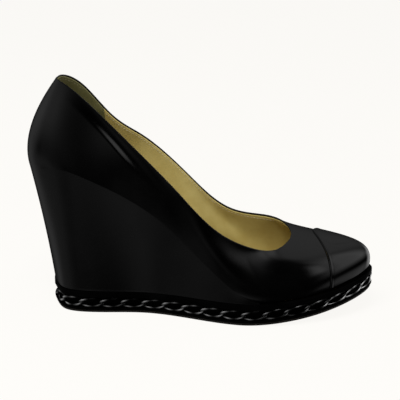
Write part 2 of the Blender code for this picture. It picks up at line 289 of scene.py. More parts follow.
def two_tone(tree, tone, dark, light):
    """The grain's tone as a colour from dark to light."""
    node = tree.nodes.new("ShaderNodeValToRGB")
    for stop, place, colour in zip(node.color_ramp.elements, (TONE_LOW, TONE_HIGH), (dark, light)):
        stop.position, stop.color = place, (*colour, 1)
    tree.links.new(tone, node.inputs["Fac"])
    return node.outputs["Color"]


def spread(tree, tone, low, high):
    """The grain's tone carried to the range low to high."""
    node = tree.nodes.new("ShaderNodeMapRange")
    node.inputs["From Min"].default_value = TONE_LOW
    node.inputs["From Max"].default_value = TONE_HIGH
    node.inputs["To Min"].default_value = low
    node.inputs["To Max"].default_value = high
    tree.links.new(tone, node.inputs["Value"])
    return node.outputs["Result"]


def grained_material(name, dark, light, gloss, cells, patches, relief, **fixed):
    """Principled surface with grain: colour and gloss (its roughness) follow the patches, of which there are so
    many to a metre; the bump follows the cells, with the relief in millimetres. Fixed values are set as given."""
    material = bpy.data.materials.new(name)
    material.use_nodes = True
    tree = material.node_tree
    shader = tree.nodes["Principled BSDF"]
    grain = tree.nodes.new("ShaderNodeGroup")
    grain.node_tree = GRAIN
    grain.inputs["cells per metre"].default_value = cells
    grain.inputs["patches per metre"].default_value = patches
    tree.links.new(two_tone(tree, grain.outputs["tone"], dark, light), shader.inputs["Base Color"])
    tree.links.new(spread(tree, grain.outputs["tone"], *gloss), shader.inputs["Roughness"])
    bump = tree.nodes.new("ShaderNodeBump")
    bump.inputs["Strength"].default_value = 1.0
    bump.inputs["Distance"].default_value = relief * MM
    tree.links.new(grain.outputs["height"], bump.inputs["Height"])
    tree.links.new(bump.outputs["Normal"], shader.inputs["Normal"])
    for socket, value in fixed.items():
        shader.inputs[socket.replace("_", " ")].default_value = value
    return material


sole_rubber = grained_material(
    "sole rubber", RUBBER_DARK, RUBBER_DUSTY, gloss=(0.5, 0.7), cells=1500, patches=90, relief=0.04)
outsole_corners = (
    (FLAT_MARGIN, 0.0, 0.0),
    (OUTSOLE_INSET, 0.0, OUTSOLE_BUFFING),
    (OUTSOLE_INSET, OUTSOLE_THICK, OUTSOLE_BUFFING),
    (FLAT_MARGIN, OUTSOLE_THICK, 0.0),
)
outsole_rings = np.array([over_tread(sole_plan(inset), up) for inset, up in rounded_profile(outsole_corners)])
outsole_grid = closed_across(outsole_rings)
outsole = new_piece("sole_sheet", outsole_grid, grid_quads(*outsole_grid.shape[:2]), sole_rubber)
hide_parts("outsole")

# Platform: a board wrapped in smooth black leather, with a rim, a channel for the chain and a lower band
# pressed round its side. The cover is pulled tight, so every corner of it is softly rounded.
PLATFORM_TOP = 15.0
PLATFORM_FOOT = 1.9
RIM_FOOT = 10.8
BAND_TOP = 3.3
CHANNEL_DEPTH = 3.0
BAND_FOOT_ROUND = 0.7
BAND_TOP_ROUND = 0.6
CHANNEL_ROUND = 0.8
RIM_FOOT_ROUND = 0.7
RIM_TOP_ROUND = 1.3
COVER_SHINE = 0.01
COVER_BLACK = (0.0003, 0.0003, 0.0003)
COVER_WORN = (0.0010, 0.0010, 0.0010)

platform_leather = grained_material(
    "platform leather", COVER_BLACK, COVER_WORN, gloss=(0.3, 0.42), cells=1300, patches=60, relief=0.02,
    Specular_IOR_Level=COVER_SHINE)
platform_corners = (
    (FLAT_MARGIN, PLATFORM_FOOT, 0.0),
    (0.0, PLATFORM_FOOT, BAND_FOOT_ROUND),
    (0.0, BAND_TOP, BAND_TOP_ROUND),
    (CHANNEL_DEPTH, BAND_TOP, CHANNEL_ROUND),
    (CHANNEL_DEPTH, RIM_FOOT, CHANNEL_ROUND),
    (0.0, RIM_FOOT, RIM_FOOT_ROUND),
    (0.0, PLATFORM_TOP, RIM_TOP_ROUND),
    (FLAT_MARGIN, PLATFORM_TOP, 0.0),
)
platform_rings = np.array([over_tread(sole_plan(inset), up) for inset, up in rounded_profile(platform_corners)])
platform_grid = closed_across(platform_rings)
platform = new_piece("platform_cover", platform_grid, grid_quads(*platform_grid.shape[:2]), platform_leather)
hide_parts("platform")

# Chain: a flat curb chain of dark silver plated links, laid in the platform's channel all the way round.
# Each link is a twisted wire loop that passes over its neighbour on one side and under it on the other;
# the plating is blackened, with bright colour where the highlight strokes fall: partly polish, partly painted
# highlight.
CHAIN_LINKS = 36
CHAIN_INSET = 1.45
CHAIN_PATH_POINTS = 1680
CHAIN_MIDDLE = 7.05
LINK_HALF_LENGTH = 8.15
LINK_HALF_HEIGHT = 2.85
LINK_SLANT = 0.8
LINK_TWIST = 0.82
WIRE_HALF_WIDTH = 0.85
WIRE_HALF_DEPTH = 0.75
LINK_STEPS = 40
WIRE_STEPS = 12
CHAIN_START = 9.2
POLISH_AND_HIGHLIGHT_REACH = 0.4
CHAIN_BLACK = (0.004, 0.004, 0.004)
CHAIN_DULL = (0.02, 0.02, 0.02)
# bright colour of the spots on the wire: partly polish, partly painted highlight
CHAIN_POLISH_AND_HIGHLIGHT = (0.95, 0.95, 0.95)

# Bright spots round a link, partly polish and partly painted highlight, from its toe end up and over: the turn and
# half width in degrees, the brightness from 0 to 1
POLISH_AND_HIGHLIGHT_SPOTS = (
    # place, turn, half width, polish and painted highlight
    ("over the link behind", 150.0, 17.0, 1.0),
    ("over the link in front", 330.0, 17.0, 1.0),
    ("leg below", 260.0, 14.0, 0.9),
    ("dash above", 98.0, 10.0, 0.5),
)


def chain_points():
    """Links on the channel's path. A link's wire runs as a cosine along the path, a sine up and down that slants
    the loop to the toe, and a sine of the double angle in and out; round it the wire is an ellipse."""
    path = sole_plan(CHAIN_INSET, CHAIN_PATH_POINTS)
    run = np.concatenate([[0.0], np.cumsum(chord_lengths(path))])
    turn = 2 * np.pi * np.arange(LINK_STEPS) / LINK_STEPS
    round_wire = 2 * np.pi * np.arange(WIRE_STEPS) / WIRE_STEPS
    rise = LINK_HALF_HEIGHT * np.sin(turn)
    loop = np.stack([LINK_HALF_LENGTH * np.cos(turn) + LINK_SLANT * rise, rise], axis=1)
    depth = -LINK_TWIST * np.sin(2 * turn)
    across = outward(loop)
    wide = WIRE_HALF_WIDTH * np.cos(round_wire)
    along = loop[:, :1] + across[:, :1] * wide
    lift = loop[:, 1:] + across[:, 1:] * wide
    out = depth[:, None] - WIRE_HALF_DEPTH * np.sin(round_wire)
    start = CHAIN_START + np.arange(CHAIN_LINKS) * run[-1] / CHAIN_LINKS
    at = (start[:, None, None] + along) % run[-1]
    ends = np.concatenate([path, path[:1]])
    facing = np.concatenate([outward(path), outward(path)[:1]])
    plan = np.stack([np.interp(at, run, ends[:, k]) for k in (0, 1)], axis=-1)
    away = np.stack([np.interp(at, run, facing[:, k]) for k in (0, 1)], axis=-1)
    plan = plan + away * out[None, ..., None]
    up = over_floor(plan[..., 0], CHAIN_MIDDLE + lift)
    return np.concatenate([plan, up[..., None]], axis=-1)


def repeated_quads(pieces, rows, count, close_rows):
    """The same grid's faces for every one of a number of like pieces."""
    one = grid_quads(rows, count, close_rows)
    return (one[None] + (np.arange(pieces) * rows * count)[:, None, None]).reshape(-1, 4)


def chain_polish_and_highlight():
    """Polish and painted highlight of every point of the chain: bell curves round the link, on the wire's outer
    side and a little past it."""
    turn = 360 * np.arange(LINK_STEPS) / LINK_STEPS
    middle, half_width, strength = columns(POLISH_AND_HIGHLIGHT_SPOTS)
    away = (turn[:, None] - middle + 180) % 360 - 180
    polish_and_highlight = (strength * np.exp(-(away / half_width)**2)).max(axis=1)
    outer = np.clip(POLISH_AND_HIGHLIGHT_REACH - np.sin(2 * np.pi * np.arange(WIRE_STEPS) / WIRE_STEPS), 0, 1)
    return np.tile((polish_and_highlight[:, None] * outer).ravel(), CHAIN_LINKS)


def chain_material():
    """Blackened plating that turns bright with the polish and painted highlight kept on the chain's points."""
    material = grained_material(
        "chain metal", CHAIN_BLACK, CHAIN_DULL, gloss=(0.12, 0.24), cells=900, patches=420, relief=0.01,
        Metallic=1.0)
    tree = material.node_tree
    shader = tree.nodes["Principled BSDF"]
    polish_and_highlight = tree.nodes.new("ShaderNodeAttribute")
    polish_and_highlight.attribute_name = "polish_and_highlight"
    mixed = tree.nodes.new("ShaderNodeMix")
    mixed.data_type = "RGBA"
    mixed.inputs["B"].default_value = (*CHAIN_POLISH_AND_HIGHLIGHT, 1)
    tree.links.new(polish_and_highlight.outputs["Fac"], mixed.inputs["Factor"])
    tree.links.new(shader.inputs["Base Color"].links[0].from_socket, mixed.inputs["A"])
    tree.links.new(mixed.outputs["Result"], shader.inputs["Base Color"])
    return material


chain = new_piece(
    "curb_chain", chain_points(), repeated_quads(CHAIN_LINKS, LINK_STEPS, WIRE_STEPS, True), chain_material())
# bright spots on the links: partly polish, partly painted highlight
chain.data.attributes.new("polish_and_highlight", "FLOAT", "POINT").data.foreach_set("value", chain_polish_and_highlight())
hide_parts("edge_chain")

# Wedge: a light core covered in the same smooth black leather, between the platform and the seat.
# The cover is stretched over it, so its walls draw in a little at mid height and its foot edge is turned under.
HEEL_HEIGHT = 97.0
INSTEP_HEIGHT = 32.0
JOINT_GAP = 0.3
WEDGE_INSET = 0.4
WEDGE_FRONT = 147.0
WEDGE_HOLLOW = 0.9
WEDGE_TURN = 0.7
WEDGE_TURN_SHARE = 0.12
WEDGE_CLEARANCE = 0.02
WEDGE_CROWDING = 1.4
WEDGE_COLUMNS = 110
WEDGE_ROWS = 40
FINE_RING = 1600
WEDGE_BLACK = (0.0002, 0.0002, 0.0002)
WEDGE_WORN = (0.0008, 0.0008, 0.0008)

# The seat's line from the heel over the shank to the ball: percent of the length, percent of the heel height
SEAT_LINE = (
    # place, x, z
    ("back", -7.2, 96.7),
    ("counter", -1.3, 99.1),
    ("heel", 6.0, 100.1),
    ("seat front", 13.8, 94.2),
    ("shank top", 20.6, 87.7),
    ("shank", 29.7, 77.1),
    ("waist", 38.9, 62.5),
    ("arch", 47.1, 46.4),
    ("shank foot", 55.3, 31.4),
    ("joint", 62.6, 20.2),
    ("ball", 69.0, 16.5),
    ("tread", 74.5, 16.1),
)

# Sections of the last: feather edge and topline (x in percent of the length, half widths in percent of the
# ball width, wall heights in percent of the instep height), the swell over the feather edge and the roll
# below the topline in millimetres
LAST_SECTIONS = (
    # place, x, lateral, medial, swell, rise, top x, top lateral, top medial, wall lateral, wall medial, roll, drop
    ("back", -6.8, 0.0, 0.0, 5.5, 19.0, 2.4, 0.0, 0.0, 178.7, 178.7, 14.8, 19.5),
    ("heel corner", -3.5, 21.9, 21.9, 4.0, 17.0, 3.3, 10.0, 10.0, 177.7, 177.7, 9.5, 17.0),
    ("heel", 6.0, 33.1, 32.5, -1.5, 14.6, 9.7, 17.3, 17.3, 161.8, 157.8, 5.3, 12.7),
    ("collar", 13.8, 33.8, 32.5, -1.8, 11.0, 17.4, 20.6, 19.4, 139.3, 121.3, 3.6, 10.4),
    ("seat", 24.3, 33.8, 30.6, -1.8, 11.0, 26.6, 26.3, 24.4, 113.9, 104.5, 2.4, 6.7),
    ("waist", 42.5, 39.0, 30.0, -0.7, 7.6, 41.6, 33.8, 31.3, 90.3, 82.5, 1.0, 10.1),
    ("joint", 62.6, 53.0, 43.1, -0.9, 12.4, 56.2, 37.5, 35.6, 86.2, 89.4, 6.5, 14.3),
    ("tread", 75.8, 47.2, 47.5, 4.8, 10.4, 66.7, 33.8, 32.5, 96.4, 120.6, 3.6, 8.2),
    ("toe corner", 90.4, 25.6, 37.5, 7.1, 16.2, 73.1, 17.5, 20.0, 96.3, 111.9, 22.9, 6.1),
    ("tip", 98.4, -10.0, 10.0, 4.5, 20.0, 74.9, -2.5, 2.5, 103.0, 103.0, 42.0, 3.3),
)


def seat_height(x):
    """Height of the edge the upper is lasted to: the seat's line, and never under the platform's top."""
    knots, heights = columns(SEAT_LINE)
    knots = knots * LENGTH / 100
    line = open_curve(knots, heights * HEEL_HEIGHT / 100, np.clip(x, knots[0], knots[-1]))
    line = np.where(x > knots[-1], 0, line)
    return np.maximum(line, over_floor(x, PLATFORM_TOP) + JOINT_GAP)


def feather_sections():
    """The feather edge's points at the last's sections, in plan."""
    x, lateral, medial = columns(LAST_SECTIONS)[:3]
    x = x * LENGTH / 100
    width = BALL_WIDTH / 100
    return both_sides(np.stack([x, -lateral * width], axis=1), np.stack([x, medial * width], axis=1))


def feather_plan(inset, count):
    """The feather edge as a closed ring of plan points, moved inward."""
    points = feather_sections()
    chords = chord_lengths(points)
    plan = ring_curve(points, chords, np.arange(count) * chords.sum() / count)
    return plan - inset * outward(plan)


def side_run(side):
    """One side of an outline from its back to the wedge's front, at even distances."""
    kept = side[:np.argmax(side[:, 0] >= WEDGE_FRONT) + 1]
    run = np.concatenate([[0.0], np.cumsum(np.linalg.norm(np.diff(kept, axis=0), axis=1))])
    at = run[-1] * np.linspace(0, 1, WEDGE_COLUMNS)
    return np.stack([np.interp(at, run, kept[:, k]) for k in (0, 1)], axis=1)


def wedge_ring(plan):
    """The wedge's ring on an outline: lateral side, the middle of the front edge, medial side."""
    lateral = side_run(plan[:FINE_RING // 2 + 1])
    medial = side_run(np.concatenate([plan[:1], plan[:FINE_RING // 2 - 1:-1]]))
    return np.concatenate([lateral, (lateral[-1:] + medial[-1:]) / 2, medial[:0:-1]])


def wedge_points():
    """Loft from the platform's top to the seat: a straight blend of the two rings, less a parabola of the
    hollow, scaled by each place's height; its foot turns in as a quarter round."""
    foot = wedge_ring(sole_plan(WEDGE_INSET, FINE_RING))
    seat = wedge_ring(feather_plan(0.0, FINE_RING))
    low = over_floor(foot[:, 0], PLATFORM_TOP) + WEDGE_CLEARANCE
    height = seat_height(seat[:, 0]) - WEDGE_CLEARANCE - low
    r = np.linspace(0, 1, WEDGE_ROWS)[:, None]**WEDGE_CROWDING
    out = outward(foot)
    radius = np.minimum(WEDGE_TURN, WEDGE_TURN_SHARE * height)
    turn = radius * (1 - np.sqrt(1 - np.clip(1 - r * height / radius, 0, 1)**2))
    hollow = 4 * r * (1 - r) * WEDGE_HOLLOW * height / height.max() + turn
    plan = (1 - r)[..., None] * foot + r[..., None] * seat - hollow[..., None] * out
    return np.concatenate([plan, (low + r * height)[..., None]], axis=-1)


wedge_leather = grained_material(
    "wedge leather", WEDGE_BLACK, WEDGE_WORN, gloss=(0.2, 0.28), cells=1300, patches=45, relief=0.012)
wedge_grid = closed_across(wedge_points())
wedge = new_piece("wedge_cover", wedge_grid, grid_quads(*wedge_grid.shape[:2]), wedge_leather)
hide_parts("wedge_heel")

# Insole: a board with a gold-beige leather sock glued on, which closes the upper from inside.
# The sock is pressed down under the heel and the ball, and its edge turns up a little at the wall.
SOCK_INSET = 1.95
SOCK_THICK = 2.5
SOCK_DISH = 1.1
SOCK_DISH_STEEP = 1.6
SOCK_EDGE = 0.6
SOCK_EDGE_TURN = 0.25
SOCK_RING = 320
SOCK_ROWS = 14
SOCK_GOLD = (0.38, 0.285, 0.105)
SOCK_WORN = (0.47, 0.37, 0.16)


def sock_points():
    """Rings from the board's foot up to the sock's edge and then in to the middle line: each ring is a share
    of the way to the midpoint between partners, dished by a share of the dish."""
    plan = feather_plan(SOCK_INSET, SOCK_RING)
    partner = -np.arange(SOCK_RING) % SOCK_RING
    middle = (plan + plan[partner]) / 2
    share = np.linspace(0, 1, SOCK_ROWS)
    foot = raised(plan, seat_height(plan[:, 0]))
    board = raised(plan, seat_height(plan[:, 0]) + SOCK_THICK - SOCK_EDGE)
    top = []
    for s in share[1:]:
        ring = plan + s * (middle - plan)
        fall = SOCK_DISH * np.sin(np.pi / 2 * min(1.0, SOCK_DISH_STEEP * s))
        top.append(raised(ring, seat_height(ring[:, 0]) + SOCK_THICK - fall))
    edge = plan - SOCK_EDGE_TURN * outward(plan)
    rim = raised(edge, seat_height(edge[:, 0]) + SOCK_THICK)
    return np.array([foot, board, rim] + top)


sock_leather = grained_material(
    "sock leather", SOCK_GOLD, SOCK_WORN, gloss=(0.42, 0.6), cells=1100, patches=70, relief=0.04)
sock_grid = sock_points()
sock_grid = np.concatenate([closed_across(sock_grid)[:1], sock_grid])
sock = new_piece("sock", sock_grid, grid_quads(*sock_grid.shape[:2]), sock_leather)
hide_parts("insole")

# Upper: one piece of smooth black leather lasted over the foot shape, its top edge folded in all round.
# Its collar is drawn in under the fold, so the leather stands out in a soft shoulder below it; the foot of the
# front is turned under.
UPPER_RING = 480
LEATHER = 1.0
FOLD_ROUND = 0.5
FOLD_LIFT = 0.4
RIDGE_LIFT = 1.8
RIDGE_SINK = 0.6
RIDGE_SINK_FROM = 1.5
RIDGE_PLACE = 9.0
RIDGE_ABOVE = 2.6
RIDGE_BELOW = 15.0
RIDGE_MIDDLE_X = 52.0
RIDGE_RUN = 19.0
FOOT_TURN = 1.8
FOOT_TURN_FROM_X = 130.0
FOOT_TURN_FULL_X = 165.0
TOP_ROWS = (
    0.5, 0.8, 1.2, 1.7, 2.2, 2.8, 3.4, 4.0, 4.6, 5.2, 5.8,
    6.4, 7.0, 7.6, 8.2, 8.8, 9.4, 10.0, 10.8, 11.8, 13.0, 14.5,
)
WALL_ROWS = 44
WALL_CROWDING = 1.6
INNER_ROWS = 12
FOLD_STEPS = 9
SMALL_STEP = 0.001
UPPER_BLACK = (0.0001, 0.0001, 0.0001)
UPPER_WORN = (0.0005, 0.0005, 0.0005)


def lasted_rings(spots):
    """Feather edge, swell over it, topline and roll below it, at places round the feather edge."""
    row = columns(LAST_SECTIONS)
    swell, rise, top_x, top_lateral, top_medial, wall_lateral, wall_medial, roll, drop = row[3:]
    width = BALL_WIDTH / 100
    wall = INSTEP_HEIGHT / 100
    top_x = top_x * LENGTH / 100
    foot = seat_height(top_x)
    lateral = np.stack([top_x, -top_lateral * width, foot + wall_lateral * wall], axis=1)
    medial = np.stack([top_x, top_medial * width, foot + wall_medial * wall], axis=1)
    feather = feather_sections()
    out = outward(feather)
    swells = raised(out * both_sides(swell, swell)[:, None], both_sides(rise, rise))
    rolls = raised(out * both_sides(roll, roll)[:, None], -both_sides(drop, drop))
    chords = chord_lengths(feather)
    plan, swells, rolls, top = (
        ring_curve(ring, chords, spots) for ring in (feather, swells, rolls, both_sides(lateral, medial)))
    return raised(plan, seat_height(plan[:, 0])), swells, top, rolls


def upper_points(spots, v):
    """The upper's outside: a cubic Bezier up from the feather edge (v 0) by its swell to the topline (v 1)
    by its roll, at places round the feather edge."""
    spots, v = np.broadcast_arrays(spots, v)
    feather, swells, top, rolls = (ring.reshape(*spots.shape, 3) for ring in lasted_rings(spots.ravel()))
    v = v[..., None]
    w = 1 - v
    return w**3 * feather + 3 * w**2 * v * (feather + swells) + 3 * w * v**2 * (top + rolls) + v**3 * top


def upper_frame(spots, v):
    """Points of the upper with unit directions along, up and out at each, from small steps both ways."""
    points = upper_points(spots, v)
    along = upper_points(spots + SMALL_STEP, v) - upper_points(spots - SMALL_STEP, v)
    up = upper_points(spots, v + SMALL_STEP) - upper_points(spots, v - SMALL_STEP)
    out = np.cross(along, up)
    return points, *(d / np.linalg.norm(d, axis=-1)[..., None] for d in (along, up, out))


def topline_speed(spots):
    """Millimetres down the wall for one step of v, at its top."""
    _, _, _, rolls = lasted_rings(spots)
    return 3 * np.linalg.norm(rolls, axis=1)


def below_topline(spots, down):
    """Height v that lies a distance in millimetres below the topline, by the surface's speed at its top."""
    return 1 - down / topline_speed(spots)


def ridge_relief(points, down):
    """Shoulder below the folded edge: drawn in just under the edge, then up a bell curve's steep side to the ridge
    and slowly down a wide one, times a bell along x."""
    along = np.exp(-((points[..., :1] - RIDGE_MIDDLE_X) / RIDGE_RUN)**2)
    steep = (RIDGE_LIFT + RIDGE_SINK) * np.exp(-((down - RIDGE_PLACE) / RIDGE_ABOVE)**2)
    steep = steep - RIDGE_SINK * (1 - np.exp(-(down / RIDGE_SINK_FROM)**2))
    slow = RIDGE_LIFT * np.exp(-((down - RIDGE_PLACE) / RIDGE_BELOW)**2)
    return along * np.where(down < RIDGE_PLACE, steep, slow)


def foot_turn(points):
    """How far the foot of the front is drawn in: a quarter round of the height over the feather edge, coming in
    smoothly along x."""
    share = np.clip((points[..., 0] - FOOT_TURN_FROM_X) / (FOOT_TURN_FULL_X - FOOT_TURN_FROM_X), 0, 1)
    up = np.linalg.norm(points - points[:1], axis=-1)
    turn = FOOT_TURN * (1 - np.sqrt(1 - np.clip(1 - up / FOOT_TURN, 0, 1)**2))
    return (share**2 * (3 - 2 * share) * turn)[..., None]


def shell_points(spots, outer, inner, drop, lasted):
    """A closed wall between two depths under the upper's outside: up the outer face, over the edge in a half
    round, and down the inner face. The edge lies a drop below the topline; a lasted wall has the shoulder and the
    turned foot."""
    half = (inner - outer) / 2
    rows = np.array(TOP_ROWS)[::-1, None] + half - FOLD_ROUND + drop
    near = below_topline(spots, rows)
    wall = near[:1] * np.linspace(0, 1, WALL_ROWS, endpoint=False)[:, None]**WALL_CROWDING
    v = np.concatenate([wall, near])
    down = ((1 - v) * topline_speed(spots))[..., None]
    points, _, _, out = upper_frame(spots[None, :], v)
    face = points - out * outer
    if lasted:
        face = face + out * (ridge_relief(points, down) - foot_turn(points))
    edge, _, up, out = (part[-1] for part in upper_frame(spots[None, :], near[-1:]))
    turn = np.linspace(0, np.pi, FOLD_STEPS)[1:-1, None, None]
    fold = edge - out * (outer + half - half * np.cos(turn)) + up * half * np.sin(turn)
    back = np.linspace(1, 0, INNER_ROWS)[:, None] * near[-1:]
    points, _, _, out = upper_frame(spots[None, :], back)
    return np.concatenate([face, fold, points - out * inner])


upper_leather = grained_material(
    "upper leather", UPPER_BLACK, UPPER_WORN, gloss=(0.15, 0.23), cells=1300, patches=40, relief=0.012)
upper_spots = np.arange(UPPER_RING) * chord_lengths(feather_sections()).sum() / UPPER_RING
upper_grid = shell_points(upper_spots, 0.0, LEATHER, -FOLD_LIFT, lasted=True)
upper = new_piece("lasted_upper", upper_grid, grid_quads(*upper_grid.shape[:2], close_rows=True), upper_leather)
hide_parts("upper")

# Lining: gold-beige leather glued inside the upper and sewn to its folded edge, with an olive suede
# heel grip laid over it at the back. The grip's front edge is skived to a thin step.
LINING_OUTER = 1.02
LINING_INNER = 1.8
LINING_DROP = -0.1
LINING_FAR_DROP = 0.7
LINING_FAR_STEEP = 3.0
LINING_RING = 400
GRIP_FRONT = 34.0
GRIP_THICK = 0.35
GRIP_SKIVE = 0.15
GRIP_TOP = 1.0
GRIP_TOP_STEEP = 12.0
LINING_GOLD = (0.36, 0.275, 0.080)
LINING_PALE = (0.46, 0.375, 0.135)
GRIP_OLIVE = (0.095, 0.090, 0.034)
GRIP_PALE = (0.155, 0.145, 0.060)


def lining_points():
    """The lining's closed wall, its edge lower on the medial side. Inside it is thicker behind the grip's front by
    the grip's thickness times a smooth step (one over one plus an exponential of x)."""
    spots = np.arange(LINING_RING) * chord_lengths(feather_sections()).sum() / LINING_RING
    medial = np.clip(-LINING_FAR_STEEP * np.sin(2 * np.pi * np.arange(LINING_RING) / LINING_RING), 0, 1)
    points = shell_points(spots, LINING_OUTER, LINING_INNER, LINING_DROP + LINING_FAR_DROP * medial, lasted=False)
    first = WALL_ROWS + len(TOP_ROWS) + FOLD_STEPS - 2
    inside = points[first:]
    step = 1 / (1 + np.exp((inside[..., 0] - GRIP_FRONT) / GRIP_SKIVE))
    lower = np.linspace(0, 1, INNER_ROWS)[:, None]
    _, _, _, out = upper_frame(spots[None, :], below_topline(spots, GRIP_TOP)[None, :] * (1 - lower))
    points[first:] = inside - out * (GRIP_THICK * step * np.clip(lower * GRIP_TOP_STEEP, 0, 1))[..., None]
    return points


def lining_material():
    """Lining leather whose colour changes to the suede grip's behind the grip's front edge."""
    material = grained_material(
        "lining leather", LINING_GOLD, LINING_PALE, gloss=(0.45, 0.62), cells=1100, patches=60, relief=0.035)
    tree = material.node_tree
    shader = tree.nodes["Principled BSDF"]
    grain = next(node for node in tree.nodes if node.type == "GROUP")
    where = tree.nodes.new("ShaderNodeTexCoord")
    split = tree.nodes.new("ShaderNodeSeparateXYZ")
    tree.links.new(where.outputs["Object"], split.inputs["Vector"])
    mask = tree.nodes.new("ShaderNodeMapRange")
    mask.inputs["From Min"].default_value = (GRIP_FRONT + GRIP_SKIVE) * MM + HOME[0]
    mask.inputs["From Max"].default_value = (GRIP_FRONT - GRIP_SKIVE) * MM + HOME[0]
    tree.links.new(split.outputs["X"], mask.inputs["Value"])
    mixed = tree.nodes.new("ShaderNodeMix")
    mixed.data_type = "RGBA"
    tree.links.new(mask.outputs["Result"], mixed.inputs["Factor"])
    tree.links.new(shader.inputs["Base Color"].links[0].from_socket, mixed.inputs["A"])
    tree.links.new(two_tone(tree, grain.outputs["tone"], GRIP_OLIVE, GRIP_PALE), mixed.inputs["B"])
    tree.links.new(mixed.outputs["Result"], shader.inputs["Base Color"])
    return material


lining_grid = lining_points()
lining = new_piece("lining", lining_grid, grid_quads(*lining_grid.shape[:2], close_rows=True), lining_material())

# Toe cap: black patent leather laid over the toe of the upper, its edge folded into a bead and sewn down.
# It is cut from the upper's own surface along a seam that sweeps back over the toes.
CAP_SEAM_X = 177.5
CAP_SEAM_Y = 16.0
CAP_SEAM_SLOPE = 0.37
CAP_SEAM_ROUND = 4.0
CAP_LOW = 0.05
CAP_THICK = 1.1
CAP_BURIED = 0.3
CAP_EDGE = 0.8
CAP_BEAD = 0.2
CAP_BEAD_PLACE = 1.0
CAP_BEAD_WIDTH = 0.6
CAP_FURROW = 2.1
CAP_FURROW_DEPTH = 0.05
CAP_FURROW_WIDTH = 0.45
CAP_COLUMNS = 260
CAP_ROWS = 70
CAP_CROWDING = 1.5
CREASE_DEPTH = 0.3
CREASE_WIDTH = 0.7
CREASE_STEPS = 240
SEAM_SEARCH = 700
SEAM_HEIGHTS = 260
PATENT_BLACK = (0.0005, 0.0005, 0.0005)
PATENT_DEEP = (0.0012, 0.0012, 0.0012)

# Line of the soft crease over the cap, in plan
CREASE_LINE = (
    # place, x, y
    ("seam end", 184.2, -3.5),
    ("outer bend", 188.3, -6.4),
    ("outermost", 191.8, -7.2),
    ("middle", 195.0, -6.5),
    ("toe bend", 199.7, -3.8),
    ("toe", 203.5, -0.3),
    ("inner end", 208.1, 8.9),
)


def past_seam(points, shift=0.0):
    """Distance in plan in front of the cap's seam, which is a hyperbola swept forward to both sides."""
    side = points[..., 1] - CAP_SEAM_Y
    reach = np.hypot(side, CAP_SEAM_ROUND)
    seam = CAP_SEAM_X + shift + CAP_SEAM_SLOPE * (reach - CAP_SEAM_ROUND)
    return (points[..., 0] - seam) / np.hypot(1.0, CAP_SEAM_SLOPE * side / reach)


def seam_line(shift, count):
    """Places round the feather edge and heights v along the cap's seam, evenly spaced over the surface."""
    sections = np.concatenate([[0.0], np.cumsum(chord_lengths(feather_sections()))])
    tip = len(LAST_SECTIONS) - 1
    spots = np.linspace(sections[tip - 2], sections[tip + 2], SEAM_SEARCH)
    v = np.linspace(CAP_LOW, 1, SEAM_HEIGHTS)[:, None]
    ahead = past_seam(upper_points(spots[None, :], v), shift)
    first = np.argmax(ahead < 0, axis=0)
    inside = first > 0
    spots, first, ahead = spots[inside], first[inside], ahead[:, inside]
    column = np.arange(len(spots))
    before, after = ahead[first - 1, column], ahead[first, column]
    height = v[first - 1, 0] + (v[1, 0] - v[0, 0]) * before / (before - after)
    height[[0, -1]] = CAP_LOW
    line = upper_points(spots, height)
    run = np.concatenate([[0.0], np.cumsum(np.linalg.norm(np.diff(line, axis=0), axis=1))])
    at = np.linspace(0, run[-1], count)
    return np.interp(at, run, spots), np.interp(at, run, height)


def crease_relief(points):
    """Depth of the crease: a bell curve of the distance in plan from its smooth line, times the root of a half
    sine from end to end."""
    x, y = columns(CREASE_LINE)
    knots = np.arange(len(x))
    at = np.linspace(0, knots[-1], CREASE_STEPS)
    line = np.stack([open_curve(knots, x, at), open_curve(knots, y, at)], axis=1)
    away = np.linalg.norm(points[..., None, :2] - line, axis=-1)
    strength = np.sqrt(np.sin(np.pi * away.argmin(axis=-1) / (CREASE_STEPS - 1)))
    return CREASE_DEPTH * strength * np.exp(-(away.min(axis=-1) / CREASE_WIDTH)**2)


def cap_points():
    """Cap as a closed sheet. Its grid runs from the seam straight down to the low edge, in places round the
    toe and heights v; the top rises from both edges in a quarter round, with a bead along the seam, a furrow in
    front of the bead and the crease let into it."""
    seam_spots, seam_heights = seam_line(0.0, CAP_COLUMNS)
    low_spots = np.linspace(seam_spots[0], seam_spots[-1], CAP_COLUMNS)
    share = np.linspace(0, 1, CAP_ROWS)[:, None]**CAP_CROWDING
    spots = low_spots + (seam_spots - low_spots) * (1 - share)
    v = CAP_LOW + (seam_heights - CAP_LOW) * (1 - share)
    points, _, _, out = upper_frame(spots, v)
    run = np.linalg.norm(np.diff(points, axis=0), axis=-1)
    from_low = np.concatenate([np.cumsum(run[::-1], axis=0)[::-1], np.zeros((1, CAP_COLUMNS))])
    from_seam = np.clip(past_seam(points), 0, None)
    edge = np.minimum(from_seam, from_low)
    rise = CAP_THICK * np.sqrt(1 - (1 - np.clip(edge / CAP_EDGE, 0, 1))**2)
    bead = CAP_BEAD * np.exp(-((from_seam - CAP_BEAD_PLACE) / CAP_BEAD_WIDTH)**2)
    bead = bead - CAP_FURROW_DEPTH * np.exp(-((from_seam - CAP_FURROW) / CAP_FURROW_WIDTH)**2)
    top = points + out * (rise + bead * np.clip(edge / CAP_EDGE, 0, 1) - crease_relief(points))[..., None]
    under = points - out * CAP_BURIED
    return np.concatenate([top[::-1], under])


patent = grained_material(
    "patent leather", PATENT_BLACK, PATENT_DEEP, gloss=(0.05, 0.09), cells=700, patches=50, relief=0.004)
cap_grid = cap_points()
cap_quads = grid_quads(*cap_grid.shape[:2], close_rows=True, close_ring=False)
toe_cap = new_piece("toe_cap_patent", cap_grid, cap_quads, patent)
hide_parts("toe_cap")

